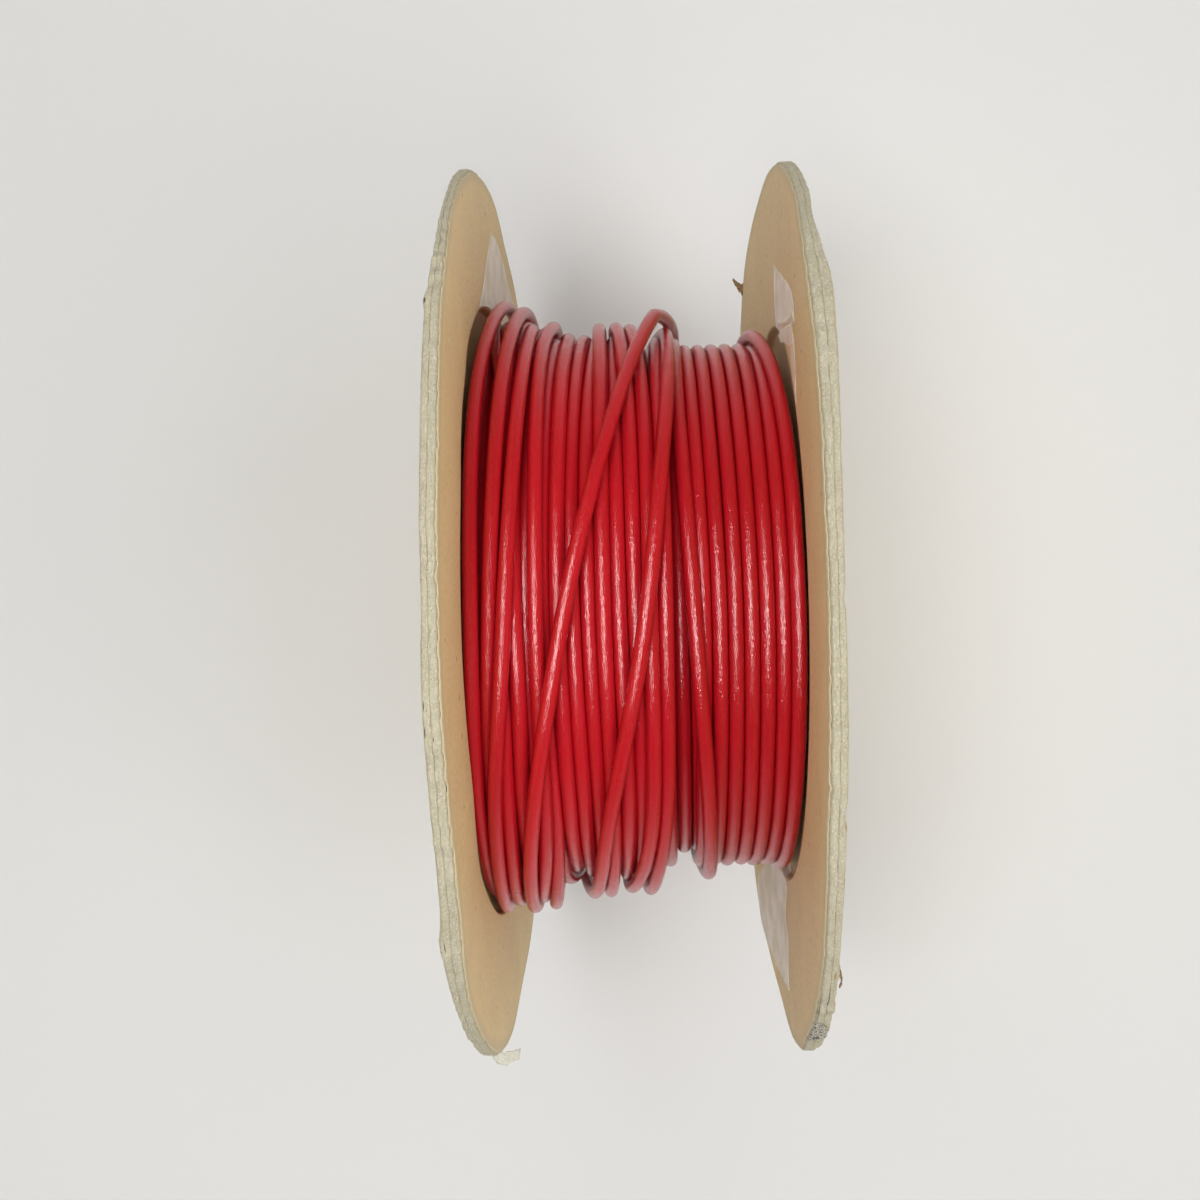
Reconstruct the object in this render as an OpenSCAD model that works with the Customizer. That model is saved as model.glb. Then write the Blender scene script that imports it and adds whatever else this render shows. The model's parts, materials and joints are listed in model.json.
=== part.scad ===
// Fibreboard wire reel, wound with hook-up wire.
// The reel's axis is X, and it stands on its two rims. The middle of its arbor
// hole is the origin, so the floor lies half a flange diameter below.

/* [Flanges] */
// Diameter of each flange
flange_d = 101.6; // [95:0.1:105]
// Clear width between the two flanges
traverse = 33.4; // [33:0.1:36]
// Thickness of one ply of greyboard
board_t = 0.7; // [0.6:0.05:1.2]
// Thickness of a kraft paper liner
liner_t = 0.1; // [0.08:0.01:0.15]
// Arbor hole, through the outer plies and their liners
arbor_d = 16; // [12:0.5:20]
// Start hole in the left flange, which the wire's inner end goes through
start_hole_d = 4; // [3:0.5:5]
// Distance of the start hole from the axis
start_hole_out = 22.5; // [22:0.5:24]

/* [Barrel] */
// Outside diameter of the wound paper tube
barrel_d = 38; // [36:0.5:38]
// Wall of the paper tube
barrel_wall = 1.6; // [1:0.1:2.5]

/* [Wire] */
// Outside diameter of the insulated wire
wire_d = 1.55; // [1.4:0.05:1.55]
// Radius of the lower layers by the right flange
pile_right_r = 29; // [28.5:0.1:29.5]
// Radius of the lower layers in the middle
pile_middle_r = 31.3; // [31:0.1:31.5]
// Radius of the lower layers by the left flange
pile_left_r = 33.2; // [33:0.1:33.5]

/* [Film] */
// Thickness of the scraps of clear wrapping film
film_t = 0.15; // [0.1:0.01:0.2]

/* [Hidden] */
$fn = 96;

flange_r = flange_d / 2;
barrel_r = barrel_d / 2;
inner_face = traverse / 2;
board_chamfer = 0.12;   // worn corner of each ply, which opens the seam between two
liner_inset = 0.2;      // a liner stops this far inside the rim
rim_flat = 0.15;        // the rims are pressed flat this deep where the reel stands
start_hole_angle = 35;  // from straight up, towards +Y
pile_gap = 0.3;         // between the lower layers and either flange
LEFT = -1;
RIGHT = 1;

// How far out from a flange's inner face each of its layers starts
inner_board_at = liner_t;
outer_board_at = liner_t + board_t;
outer_liner_at = liner_t + 2 * board_t;
flange_t = 2 * (liner_t + board_t);

// ---- Flanges: two plies of greyboard, lined with kraft paper on both faces ----

// A ring across X that starts out_from the inner face of one side's flange
module ring(side, out_from, thick, outer_r, hole_r, chamfer) {
    rotate([0, 0, side == LEFT ? 180 : 0])
        translate([inner_face + out_from, 0, 0])
            rotate([0, 90, 0])
                rotate_extrude($fn = 180)
                    polygon([
                        [hole_r, 0], [outer_r - chamfer, 0], [outer_r, chamfer],
                        [outer_r, thick - chamfer], [outer_r - chamfer, thick],
                        [hole_r, thick]
                    ]);
}

// Everything below the flat that the reel stands on
module below_flat() {
    translate([-flange_r, -flange_r, -2 * flange_r])
        cube([2 * flange_r, 2 * flange_r, flange_r + rim_flat]);
}

// A straight rod of diameter d along the start hole, from the pile to beyond the flange
module start_hole_rod(d, from_x, to_x) {
    rotate([-start_hole_angle, 0, 0])
        translate([from_x, 0, start_hole_out])
            rotate([0, -90, 0]) cylinder(h = from_x - to_x, d = d);
}

module flange_layer(side, out_from, thick, outer_r, hole_r, chamfer) {
    difference() {
        ring(side, out_from, thick, outer_r, hole_r, chamfer);
        below_flat();
        if (side == LEFT)
            start_hole_rod(start_hole_d, -inner_face + 1, -inner_face - flange_t - 1);
    }
}

// The outer ply and liner carry the arbor hole; the inner ones take the barrel's end
module outer_liner(side) {
    color([0.69, 0.57, 0.40])
        flange_layer(side, outer_liner_at, liner_t, flange_r - liner_inset, arbor_d / 2, 0);
}

module outer_board(side) {
    color([0.77, 0.74, 0.63])
        flange_layer(side, outer_board_at, board_t, flange_r, arbor_d / 2, board_chamfer);
}

module inner_board(side) {
    color([0.74, 0.72, 0.60])
        flange_layer(side, inner_board_at, board_t, flange_r, barrel_r, board_chamfer);
}

module inner_liner(side) {
    color([0.69, 0.56, 0.39])
        flange_layer(side, 0, liner_t, flange_r - liner_inset, barrel_r, 0);
}

// ---- Barrel: a paper tube glued end-on to the two outer plies ----

module barrel_tube() {
    length = 2 * (inner_face + outer_board_at);
    color([0.66, 0.56, 0.42])
        translate([-length / 2, 0, 0]) rotate([0, 90, 0])
            difference() {
                cylinder(h = length, r = barrel_r);
                translate([0, 0, -1])
                    cylinder(h = length + 2, r = barrel_r - barrel_wall);
            }
}

// ---- Wire: the lower layers, then the top layer's turns as one unbroken wire ----

// The pile's outline: how high the lower layers stand along the axis
pile_outline = [
    [-inner_face + pile_gap, pile_left_r], [-12, pile_left_r],
    [-7, pile_middle_r], [2, pile_middle_r],
    [7, pile_right_r], [inner_face - pile_gap, pile_right_r]
];

module wire_lower_layers() {
    first = pile_outline[0];
    last = pile_outline[len(pile_outline) - 1];
    color([0.55, 0.06, 0.06])
        rotate([0, 90, 0]) rotate_extrude($fn = 144)
            polygon(concat(
                [[barrel_r, first[0]]],
                [for (p = pile_outline) [p[1], p[0]]],
                [[barrel_r, last[0]]]
            ));
}

rings_a_turn = 24;
wire_sides = 6;
level_turns = 15;                 // turns that lie side by side, from left to right
end_x = inner_face - 1.3;         // the outermost of those turns
level_step = 2.2;                 // from the level turns to a turn that crosses them
bulge = pile_left_r * (1 - cos(180 / rings_a_turn));  // keeps straight facets off the pile

// Turns are counted from the underside of the reel: a turn runs up the far side,
// over the top at each half turn, and down the near side. After the level turns
// the wire climbs and crosses back over them to the left flange.
cross_x = [
    [level_turns, end_x], [15.35, 15.7], [16.25, 6], [16.75, 7.4], [17.25, 4],
    [17.75, -5], [18.25, 4.6], [18.75, -12], [19.25, -13.4], [19.5, -13.6]
];
cross_level = [
    [14.9, 0], [15.25, 1], [17.85, 1], [18.1, 2], [18.55, 2], [18.8, 1], [19.5, 1]
];
last_turn = 19.4;

function ease(s) = s * s * (3 - 2 * s);

// The value at t in a list of [t, value], with a smooth start and end to each step
function eased(t, steps, i = 0) =
    t <= steps[0][0] ? steps[0][1]
    : i == len(steps) - 2 || t < steps[i + 1][0]
        ? steps[i][1] + (steps[i + 1][1] - steps[i][1])
            * ease(min(1, (t - steps[i][0]) / (steps[i + 1][0] - steps[i][0])))
    : eased(t, steps, i + 1);

function wire_x(turn) =
    turn < level_turns ? end_x * (2 * turn / level_turns - 1) : eased(turn, cross_x);

function wire_r(turn) =
    lookup(wire_x(turn), pile_outline) + wire_d / 2 + bulge
        + level_step * eased(turn, cross_level);

function wire_at(turn) =
    let (a = 360 * turn + 180, r = wire_r(turn))
        [wire_x(turn), -r * sin(a), r * cos(a)];

function unit(v) = v / norm(v);

// The centres of the wire's rings, with one wire diameter run straight at each end
turns_route = [for (i = [0 : last_turn * rings_a_turn]) wire_at(i / rings_a_turn)];
route_end = len(turns_route) - 1;
route = concat(
    [turns_route[0] - wire_d * unit(turns_route[1] - turns_route[0])],
    turns_route,
    [turns_route[route_end]
        + wire_d * unit(turns_route[route_end] - turns_route[route_end - 1])]
);

function along(i) = unit(route[min(i + 1, len(route) - 1)] - route[max(i - 1, 0)]);

// One ring of points round the route, square to it, the first one facing outwards
function wire_ring(i) =
    let (
        t = along(i),
        out = unit([0, route[i][1], route[i][2]]),
        side = unit(cross(t, out)),
        up = cross(side, t)
    )
        [for (k = [0 : wire_sides - 1])
            let (a = 360 * k / wire_sides)
                route[i] + wire_d / 2 * (cos(a) * up + sin(a) * side)];

// The least gap between two stretches of the wire at least half a turn apart
function least_gap() =
    min([for (i = [0 : len(route) - 1], j = [i + rings_a_turn / 2 : 1 : len(route) - 1])
        norm(route[i] - route[j])]) - wire_d;

module wire_top_layer() {
    echo(least_gap_mm = least_gap(), rings = len(route));
    n = wire_sides;
    last = (len(route) - 1) * n;
    color([0.80, 0.08, 0.11])
        polyhedron(
            points = [for (i = [0 : len(route) - 1]) each wire_ring(i)],
            faces = concat(
                [for (i = [0 : len(route) - 2], k = [0 : n - 1])
                    [i * n + k, (i + 1) * n + k, i * n + (k + 1) % n]],
                [for (i = [0 : len(route) - 2], k = [0 : n - 1])
                    [i * n + (k + 1) % n, (i + 1) * n + k, (i + 1) * n + (k + 1) % n]],
                [for (k = [1 : n - 2]) [0, k, k + 1]],
                [for (k = [1 : n - 2]) [last, last + k + 1, last + k]]
            )
        );
}

// The wire's inner end, cut off flush with the left flange's outer face
module wire_start_tail() {
    color([0.80, 0.08, 0.11])
        start_hole_rod(wire_d, -inner_face + pile_gap, -inner_face - flange_t);
}

// ---- Scraps of clear film that stay stuck to the inner liners ----

// A film outline, given across X as [y, z], laid on one side's inner face
module film(side, outline) {
    translate([side == LEFT ? -inner_face : inner_face - film_t, 0, 0])
        rotate([90, 0, 90])
            linear_extrude(film_t) polygon(outline);
}

module clear_film_left() {
    color([0.80, 0.77, 0.70, 0.6])
        film(LEFT, [
            [34, 12], [42, 5], [45.5, 0], [45, -7], [39, -9], [33.5, -8], [32, 3]
        ]);
}

module clear_film_right_upper() {
    color([0.80, 0.77, 0.70, 0.6])
        film(RIGHT, [
            [37.6, 11.5], [35.5, 17.5], [32.5, 25], [30.5, 29], [28, 31.3],
            [25.5, 30.7], [26.3, 23.5], [28.3, 15.7], [30.3, 10]
        ]);
}

module clear_film_right_lower() {
    color([0.80, 0.77, 0.70, 0.6])
        film(RIGHT, [
            [-31.5, -4], [-32.5, 7], [-34, 6], [-36, 5], [-36.5, 9], [-38.5, 9.3],
            [-41, 7], [-44, 8], [-46, -5], [-47.5, -14], [-43, -24.5], [-40, -28],
            [-34, -22]
        ]);
}

outer_liner(LEFT);  // left_outer_liner
outer_board(LEFT);  // left_outer_board
inner_board(LEFT);  // left_inner_board
inner_liner(LEFT);  // left_inner_liner
outer_liner(RIGHT);  // right_outer_liner
outer_board(RIGHT);  // right_outer_board
inner_board(RIGHT);  // right_inner_board
inner_liner(RIGHT);  // right_inner_liner
barrel_tube();
wire_lower_layers();
wire_top_layer();
wire_start_tail();
clear_film_left();
clear_film_right_upper();
clear_film_right_lower();
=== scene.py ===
"""Fibreboard wire reel, wound with red hook-up wire: the looks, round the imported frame."""

import json
import math

import bpy
import numpy as np
from mathutils import Matrix, Vector


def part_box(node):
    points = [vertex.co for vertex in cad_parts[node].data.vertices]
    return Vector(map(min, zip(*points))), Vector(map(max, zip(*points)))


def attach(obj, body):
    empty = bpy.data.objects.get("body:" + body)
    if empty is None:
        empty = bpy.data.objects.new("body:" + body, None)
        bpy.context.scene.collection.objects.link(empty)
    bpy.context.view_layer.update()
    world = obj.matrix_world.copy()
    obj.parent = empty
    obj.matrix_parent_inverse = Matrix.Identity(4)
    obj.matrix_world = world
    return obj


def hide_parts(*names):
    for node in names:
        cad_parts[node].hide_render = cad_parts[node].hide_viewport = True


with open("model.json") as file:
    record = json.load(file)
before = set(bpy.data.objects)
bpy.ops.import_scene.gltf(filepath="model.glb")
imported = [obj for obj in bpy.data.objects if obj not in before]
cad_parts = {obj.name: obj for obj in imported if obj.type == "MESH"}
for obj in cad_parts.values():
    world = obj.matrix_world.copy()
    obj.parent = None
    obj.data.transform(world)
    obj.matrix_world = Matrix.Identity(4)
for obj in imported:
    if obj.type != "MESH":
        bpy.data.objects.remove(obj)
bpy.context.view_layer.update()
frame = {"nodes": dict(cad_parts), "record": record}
mm = 0.001


# ---- Camera ----
# It looks straight down on the standing reel, from about 110 mm above its upper rims,
# a little off square to it.
camera_place = Vector((1.01, 0.92, 162.66)) * mm
camera_tilt = math.radians(1.9)
camera_roll = math.radians(-1.51)

camera_data = bpy.data.cameras.new("camera")
camera_data.lens = 40.68
camera_data.sensor_width = 36
camera_data.clip_start = 0.001
camera = bpy.data.objects.new("camera", camera_data)
camera.matrix_world = (
    Matrix.Translation(camera_place)
    @ Matrix.Rotation(camera_tilt, 4, "Y")
    @ Matrix.Rotation(camera_roll, 4, "Z")
)
bpy.context.collection.objects.link(camera)
bpy.context.scene.camera = camera


# ---- Hook-up wire ----
# One unbroken length of stranded wire in red PVC. A lower pass of close turns runs from the left flange
# to the right one, the pass over it comes back turn by turn, and the last turns are pulled loosely across.
wire_d = 1.55
stations = 144            # points to a turn
lower_turns = 20
inner_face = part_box("right_inner_liner")[0].x / mm
board_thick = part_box("right_outer_liner")[1].x / mm - inner_face
flange_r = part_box("right_outer_board")[1].y / mm
LEFT, RIGHT = -1, 1

# How the flanges are bent: at angles from straight up towards the far side, where the inner edge of the
# rim lies along the axis, and how thick the rim is there. The two plies have spread at some places.
bent_rims = {
    LEFT: [
        (-180, 15.9, 1.6), (-150, 15.8, 1.6), (-118, 15.7, 1.6), (-104, 16.15, 1.6), (-88, 16.05, 1.6),
        (-70, 16.15, 1.6), (-60, 16.3, 1.65), (-46, 16.5, 1.72), (-37, 16.2, 2.1), (-30, 15.97, 1.9),
        (-18, 16.05, 1.8), (-6, 16.15, 1.75), (1, 16.13, 1.58), (10, 16.1, 1.66), (19, 16.1, 1.72),
        (28, 16.3, 1.65), (34, 16.4, 1.6), (42, 16.4, 1.4), (50, 16.62, 1.15), (62, 16.55, 1.2),
        (80, 16.5, 1.5), (96, 16.2, 1.6), (109, 16.15, 1.6), (120, 15.75, 1.6), (150, 15.85, 1.6),
    ],
    RIGHT: [
        (-180, 15.9, 1.6), (-150, 15.8, 1.6), (-121, 15.85, 1.6), (-110, 16.4, 1.6), (-100, 16.75, 1.6),
        (-88, 16.7, 1.6), (-76, 16.45, 1.65), (-60, 16.2, 1.8), (-50, 16.2, 1.85), (-42, 16.3, 1.65),
        (-34, 16.15, 1.65), (-24, 15.98, 1.75), (-12, 16.0, 1.7), (0, 16.03, 1.55), (10, 16.03, 1.65),
        (20, 16.13, 1.85), (27, 16.15, 2.1), (34, 16.08, 2.3), (40, 16.15, 1.95), (46, 16.25, 1.5),
        (53, 16.4, 1.6), (62, 16.3, 1.5), (78, 16.55, 1.6), (90, 16.45, 1.6), (97, 16.3, 1.6),
        (104, 16.0, 1.6), (114, 15.65, 1.6), (130, 15.6, 1.6), (155, 15.8, 1.6),
    ],
}
bend_from = {LEFT: 19.0, RIGHT: 29.0}     # the flanges lean towards their rims' places from this radius
bend_to = {LEFT: 46.0, RIGHT: 50.0}       # to this one
pressed_to = {LEFT: 35.7, RIGHT: 32.4}    # the winding has pressed their faces in up to here,
pressed_by = 0.9                          # this deep,
pressed_run = 0.6                         # and the step runs out over this width
rolled_from = 49.9        # the inner edge is rolled over outside this radius
rolled_by = 0.32


def through(t, knots, values):
    """A smooth curve through values at knots: on each span the cubic that has the mean slopes at its ends."""
    slope = np.gradient(values, knots)
    i = np.clip(np.searchsorted(knots, t, side="right") - 1, 0, len(knots) - 2)
    span = knots[i + 1] - knots[i]
    s = (t - knots[i]) / span
    return (
        (1 + 2 * s) * (1 - s) ** 2 * values[i]
        + s * (1 - s) ** 2 * span * slope[i]
        + s * s * (3 - 2 * s) * values[i + 1]
        + s * s * (s - 1) * span * slope[i + 1]
    )


def smooth_step(t):
    """0 up to t = 0, 1 from t = 1, and 3t^2 - 2t^3 between."""
    t = np.clip(t, 0, 1)
    return t * t * (3 - 2 * t)


def flange_face(side, radius, angle, depth=0.0):
    """How far from the reel's middle a flange's inner face lies, or a layer at a depth behind it. The face
    leans to its rim's measures by a smooth step and is rolled over at the rim; the winding has pressed
    it in by another smooth step. The pressing dies out with depth, and the depth grows with the rim's
    thickness."""
    rows = np.array(bent_rims[side])
    rows = np.concatenate([rows - (360, 0, 0), rows, rows + (360, 0, 0)])
    turned = (np.degrees(angle) + 180) % 360 - 180
    rim_x = through(turned, rows[:, 0], rows[:, 1])
    thick = through(turned, rows[:, 0], rows[:, 2])
    bent = smooth_step((radius - bend_from[side]) / (bend_to[side] - bend_from[side]))
    pressed = pressed_by * smooth_step((pressed_to[side] - radius) / pressed_run)
    rolled = rolled_by * np.clip((radius - rolled_from) / (flange_r - rolled_from), 0, 1) ** 2
    shallow = np.clip(1 - depth / board_thick, 0, 1)
    spread = 1 + (thick / board_thick - 1) * bent**2
    return inner_face + (rim_x - inner_face) * bent + (pressed + rolled) * shallow + depth * spread


# The radius of a wire's centre in the pass of turns that comes back, along the axis
pile_x = (-16.7, -12, -9, -6.5, 2.8, 4.6, 7, 16.7)
pile_r = (33.3, 33.3, 32.7, 32.05, 32.1, 30.2, 29.9, 29.85)
level_rise = 1.4          # from one level of turns to the next
lower_level = -1.3        # where the pass underneath lies

# Each turn of that pass and of the loose ones, in winding order: where it lies along the axis at six
# angles, from the far side over the top to the near side and the underside, and at what level.
turn_angles = (80, 40, 0, -40, -80, -170)
upper_turns = [
    ((14.0, 15.4, 15.66, 15.6, 15.45, 15.0), (1.0, 0.35, 0.25, 0.2, 0.2, 0.3)),
    ((14.1, 14.3, 14.5, 14.4, 14.1, 13.4), 0),
    ((12.5, 12.7, 12.9, 12.8, 12.6, 11.8), 0),
    ((10.7, 11.1, 11.5, 11.4, 11.3, 10.2), 0),
    ((9.1, 9.5, 9.9, 9.9, 9.9, 8.6), 0),
    ((7.8, 7.8, 8.2, 8.5, 8.7, 7.5), 0),
    ((6.5, 6.5, 6.8, 6.5, 6.7, 5.2), (0, 0, 0, 0, 0, 0.2)),
    ((3.0, 2.85, 2.5, 2.5, 0.8, 0.4), (-0.9, 0, 0, 0, 0.7, 0)),
    ((0.0, 1.1, 1.4, 1.1, -1.4, -1.6), (0.3, 0.1, 0.1, 0.1, 0.4, 0)),
    ((-1.6, -0.4, 0.0, 0.0, -0.5, -2.0), (0.4, 0.1, 0, 0, -0.6, 0)),
    ((-1.8, -1.5, -1.4, -1.2, -1.6, -3.0), (-0.95, 0, 0, 0, -1.0, 0)),
    ((-3.5, -3.1, -3.0, -2.8, -3.8, -4.6), (0.4, 0.1, 0.1, 0.1, 0.8, 0)),
    ((-4.0, -4.4, -4.4, -4.1, -4.1, -6.0), (-1.0, 0, 0, 0, -0.4, 0)),
    ((-5.6, -5.7, -5.9, -5.4, -5.4, -7.0), (-0.8, 0, 0, 0, -1.4, 0)),
    ((-7.25, -7.3, -7.5, -7.2, -8.0, -8.4), (-1.2, 0, 0, 0, -1.4, 0)),
    ((-8.8, -8.6, -8.7, -8.4, -10.4, -9.9), (-1.3, -0.1, 0, 0, 1.0, 0)),
    ((-9.5, -9.3, -9.3, -9.6, -11.6, -11.3), (-0.9, 0.3, 0.4, 0.5, 0.2, 0)),
    ((-10.4, -10.2, -10.8, -10.8, -10.6, -12.5), (-1.5, -0.5, -0.2, -0.2, -0.6, 0)),
    ((-11.4, -11.0, -11.8, -12.0, -11.8, -13.7), (-0.9, -0.6, 0, 0, -0.3, 0)),
    ((-12.2, -12.4, -13.6, -13.7, -13.2, -14.9), (-0.5, 0, 0, -0.2, -0.3, 0)),
    ((-14.1, -15.4, -15.5, -15.6, -15.6, -7.0), (1.6, 1, 1, 0.7, -0.1, 1.5)),
    ((3.95, 3.55, 1.2, -3.15, -5.75, -12.5), (0.65, 1.1, 1.1, 1.1, 0.9, 1.0)),
    ((-11.0, -11.1, -12.3, -14.5, -15.6, -15.6), (-1.0, 0.8, 1, 1, 0.6, 0.5)),
    ((-15.5, -12.8, -12.6, -13.2, -13.9, -4.0), (0.0, -1.2, -0.3, 0.7, 0.3, 1.6)),
    ((4.95, 4.9, 5.8, 7.0, 7.5, 3.2), (0.37, 0.4, 0.6, 0.9, 1.1, 2.2)),
    ((4.2, -1.0, -6.75, -11.0, -12.4, -12.8), (2.1, 1.2, 1.3, 1.3, 0.75, 1.0)),
    ((-12.0, -12.85, -13.75, -14.9, -14.6, -14.2), (1.05, 1, 0.6, 0, -0.2, 0.5)),
]


def softened(v, passes):
    """v with each point moved towards the mean of its neighbours, passes times over; the ends stay."""
    for _ in range(passes):
        v[1:-1] = 0.25 * v[:-2] + 0.5 * v[1:-1] + 0.25 * v[2:]
    return v


def planned_winding():
    """Turn count, x and level at every station. The lower pass goes evenly across at its own level, and each
    upper turn follows its six places; turn n is at the top at n + 1/2."""
    lower_t = np.arange(2 * lower_turns) / 2
    edge = inner_face - 1     # how far from the middle its first and last turns lie
    lower_x = -edge + 2 * edge * lower_t / (lower_turns - 0.5)
    upper_t = [lower_turns + n + 0.5 - a / 360 for n in range(len(upper_turns)) for a in turn_angles]
    upper_x = [x for places, _ in upper_turns for x in places]
    upper_level = np.concatenate([np.broadcast_to(level, len(turn_angles)) for _, level in upper_turns])
    knots = np.concatenate([lower_t, upper_t])
    t = np.arange((lower_turns + len(upper_turns)) * stations) / stations
    return (
        t,
        through(t, knots, np.concatenate([lower_x, upper_x])),
        through(t, knots, np.concatenate([np.full(len(lower_t), lower_level), upper_level])),
    )


def laid_winding(rounds=160, settling=30):
    """The wire's centre line, in millimetres, as it lies. At each angle the turns are circles side by side in a
    cross-section. In every round two circles that overlap push each other apart along the line between
    them, the lower turns giving way most; each point is drawn back a little to its planned place, and its
    shift is softened along the wire, which is stiff. The last rounds only push."""
    pushed_apart = 0.8        # the share of an overlap that a round takes away
    drawn_back = 0.04         # the share of its shift that a point gives back in a round
    stiffness = 2             # passes of softening in a round
    flange_gap = 0.03
    deepest = 1.75            # levels that a turn can sink under the pass that comes back
    t, x, level = planned_winding()
    r = np.interp(x, pile_x, pile_r) + level_rise * level
    x_plan, r_plan = x.copy(), r.copy()
    turns = len(t) // stations
    gives = np.where(level < -0.25, 1, 0.3).reshape(turns, stations)
    share = gives[:, None] / (gives[:, None] + gives[None])
    itself = np.arange(turns)
    angle = np.pi - 2 * np.pi * (t % 1)
    for n in range(rounds):
        across = x.reshape(turns, stations)
        out = r.reshape(turns, stations)
        dx = across[:, None] - across[None]
        dr = out[:, None] - out[None]
        apart = np.hypot(dx, dr) + 1e-9
        push = pushed_apart * share * np.clip(wire_d - apart, 0, None) / apart
        push[itself, itself] = 0
        x = x + (push * dx).sum(1).ravel()
        r = r + (push * dr).sum(1).ravel()
        if n < rounds - settling:
            x += drawn_back * (x_plan - x)
            r += drawn_back * (r_plan - r)
        x = x_plan + softened(x - x_plan, stiffness)
        r = r_plan + softened(r - r_plan, stiffness)
        leftmost = wire_d / 2 + flange_gap - flange_face(LEFT, r, angle)
        rightmost = flange_face(RIGHT, r, angle) - wire_d / 2 - flange_gap
        x = np.clip(x, leftmost, rightmost)
        r = np.maximum(r, np.interp(x, pile_x, pile_r) - deepest * level_rise)
    a = 2 * np.pi * t
    return np.stack([x, r * np.sin(a), -r * np.cos(a)], 1)


def quads(rows, cols, rows_join=False, cols_join=False):
    """The faces of a grid of points, numbered row by row, and each corner's row and column, which run on
    past a join so that a pattern does too."""
    i, j = np.meshgrid(
        np.arange(rows if rows_join else rows - 1), np.arange(cols if cols_join else cols - 1), indexing="ij"
    )
    i, j = i.ravel(), j.ravel()
    corner_rows = np.stack([i, i, i + 1, i + 1], 1)
    corner_cols = np.stack([j, j + 1, j + 1, j], 1)
    return corner_rows % rows * cols + corner_cols % cols, corner_rows, corner_cols


def new_piece(name, points, faces, material, uv=None, flat=()):
    """An object at the origin with its place in its mesh. points are in millimetres, uv has one pair for each
    corner of each face, and flat numbers the faces that aren't shaded smooth."""
    mesh = bpy.data.meshes.new(name)
    mesh.from_pydata((np.asarray(points) * mm).tolist(), [], [list(map(int, f)) for f in faces])
    smooth = np.ones(len(mesh.polygons), bool)
    smooth[list(flat)] = False
    mesh.polygons.foreach_set("use_smooth", smooth)
    if uv is not None:
        layer = mesh.uv_layers.new(name="surface_mm")
        layer.data.foreach_set("uv", np.asarray(uv, np.float32).ravel())
    mesh.materials.append(material)
    mesh.validate()
    piece = bpy.data.objects.new(name, mesh)
    bpy.context.collection.objects.link(piece)
    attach(piece, "root")
    return piece


def tube(name, path, radius, sides, material):
    """A closed tube: the ring round a point of the path is that point + radius (cos a up + sin a side),
    where up is the way out from the reel's axis, square to the wire, and side = along x up. UV is the
    length along the wire and round it, in millimetres."""
    along = np.gradient(path, axis=0)
    along /= np.linalg.norm(along, axis=1, keepdims=True)
    out = path * (0, 1, 1)
    up = out - along * (out * along).sum(1, keepdims=True)
    up /= np.linalg.norm(up, axis=1, keepdims=True)
    side = np.cross(along, up)
    a = 2 * np.pi * np.arange(sides) / sides
    ring = np.cos(a)[:, None] * up[:, None] + np.sin(a)[:, None] * side[:, None]
    points = (path[:, None] + radius * ring).reshape(-1, 3)
    faces, corner_rows, corner_cols = quads(len(path), sides, cols_join=True)
    length = np.concatenate([[0], np.cumsum(np.linalg.norm(np.diff(path, axis=0), axis=1))])
    uv = np.stack([length[corner_rows], corner_cols * (2 * np.pi * radius / sides)], 2).reshape(-1, 2)
    first = np.arange(sides)[::-1]
    last = np.arange(sides) + (len(path) - 1) * sides
    uv = np.concatenate([uv, np.zeros((2 * sides, 2))])
    ends = (len(faces), len(faces) + 1)
    return new_piece(name, points, [*faces, first, last], material, uv, ends)


def new_material(name, roughness):
    """A new material, its node tree and its Principled BSDF."""
    made = bpy.data.materials.new(name)
    made.use_nodes = True
    tree = made.node_tree
    shader = tree.nodes["Principled BSDF"]
    shader.inputs["Roughness"].default_value = roughness
    return made, tree, shader


def put(tree, kind, inputs=None, **settings):
    """A new node with its settings, and its inputs set to values or linked to sockets."""
    node = tree.nodes.new(kind)
    for key, value in settings.items():
        setattr(node, key, value)
    for key, value in (inputs or {}).items():
        if isinstance(value, bpy.types.NodeSocket):
            tree.links.new(value, node.inputs[key])
        else:
            node.inputs[key].default_value = value
    return node


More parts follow.
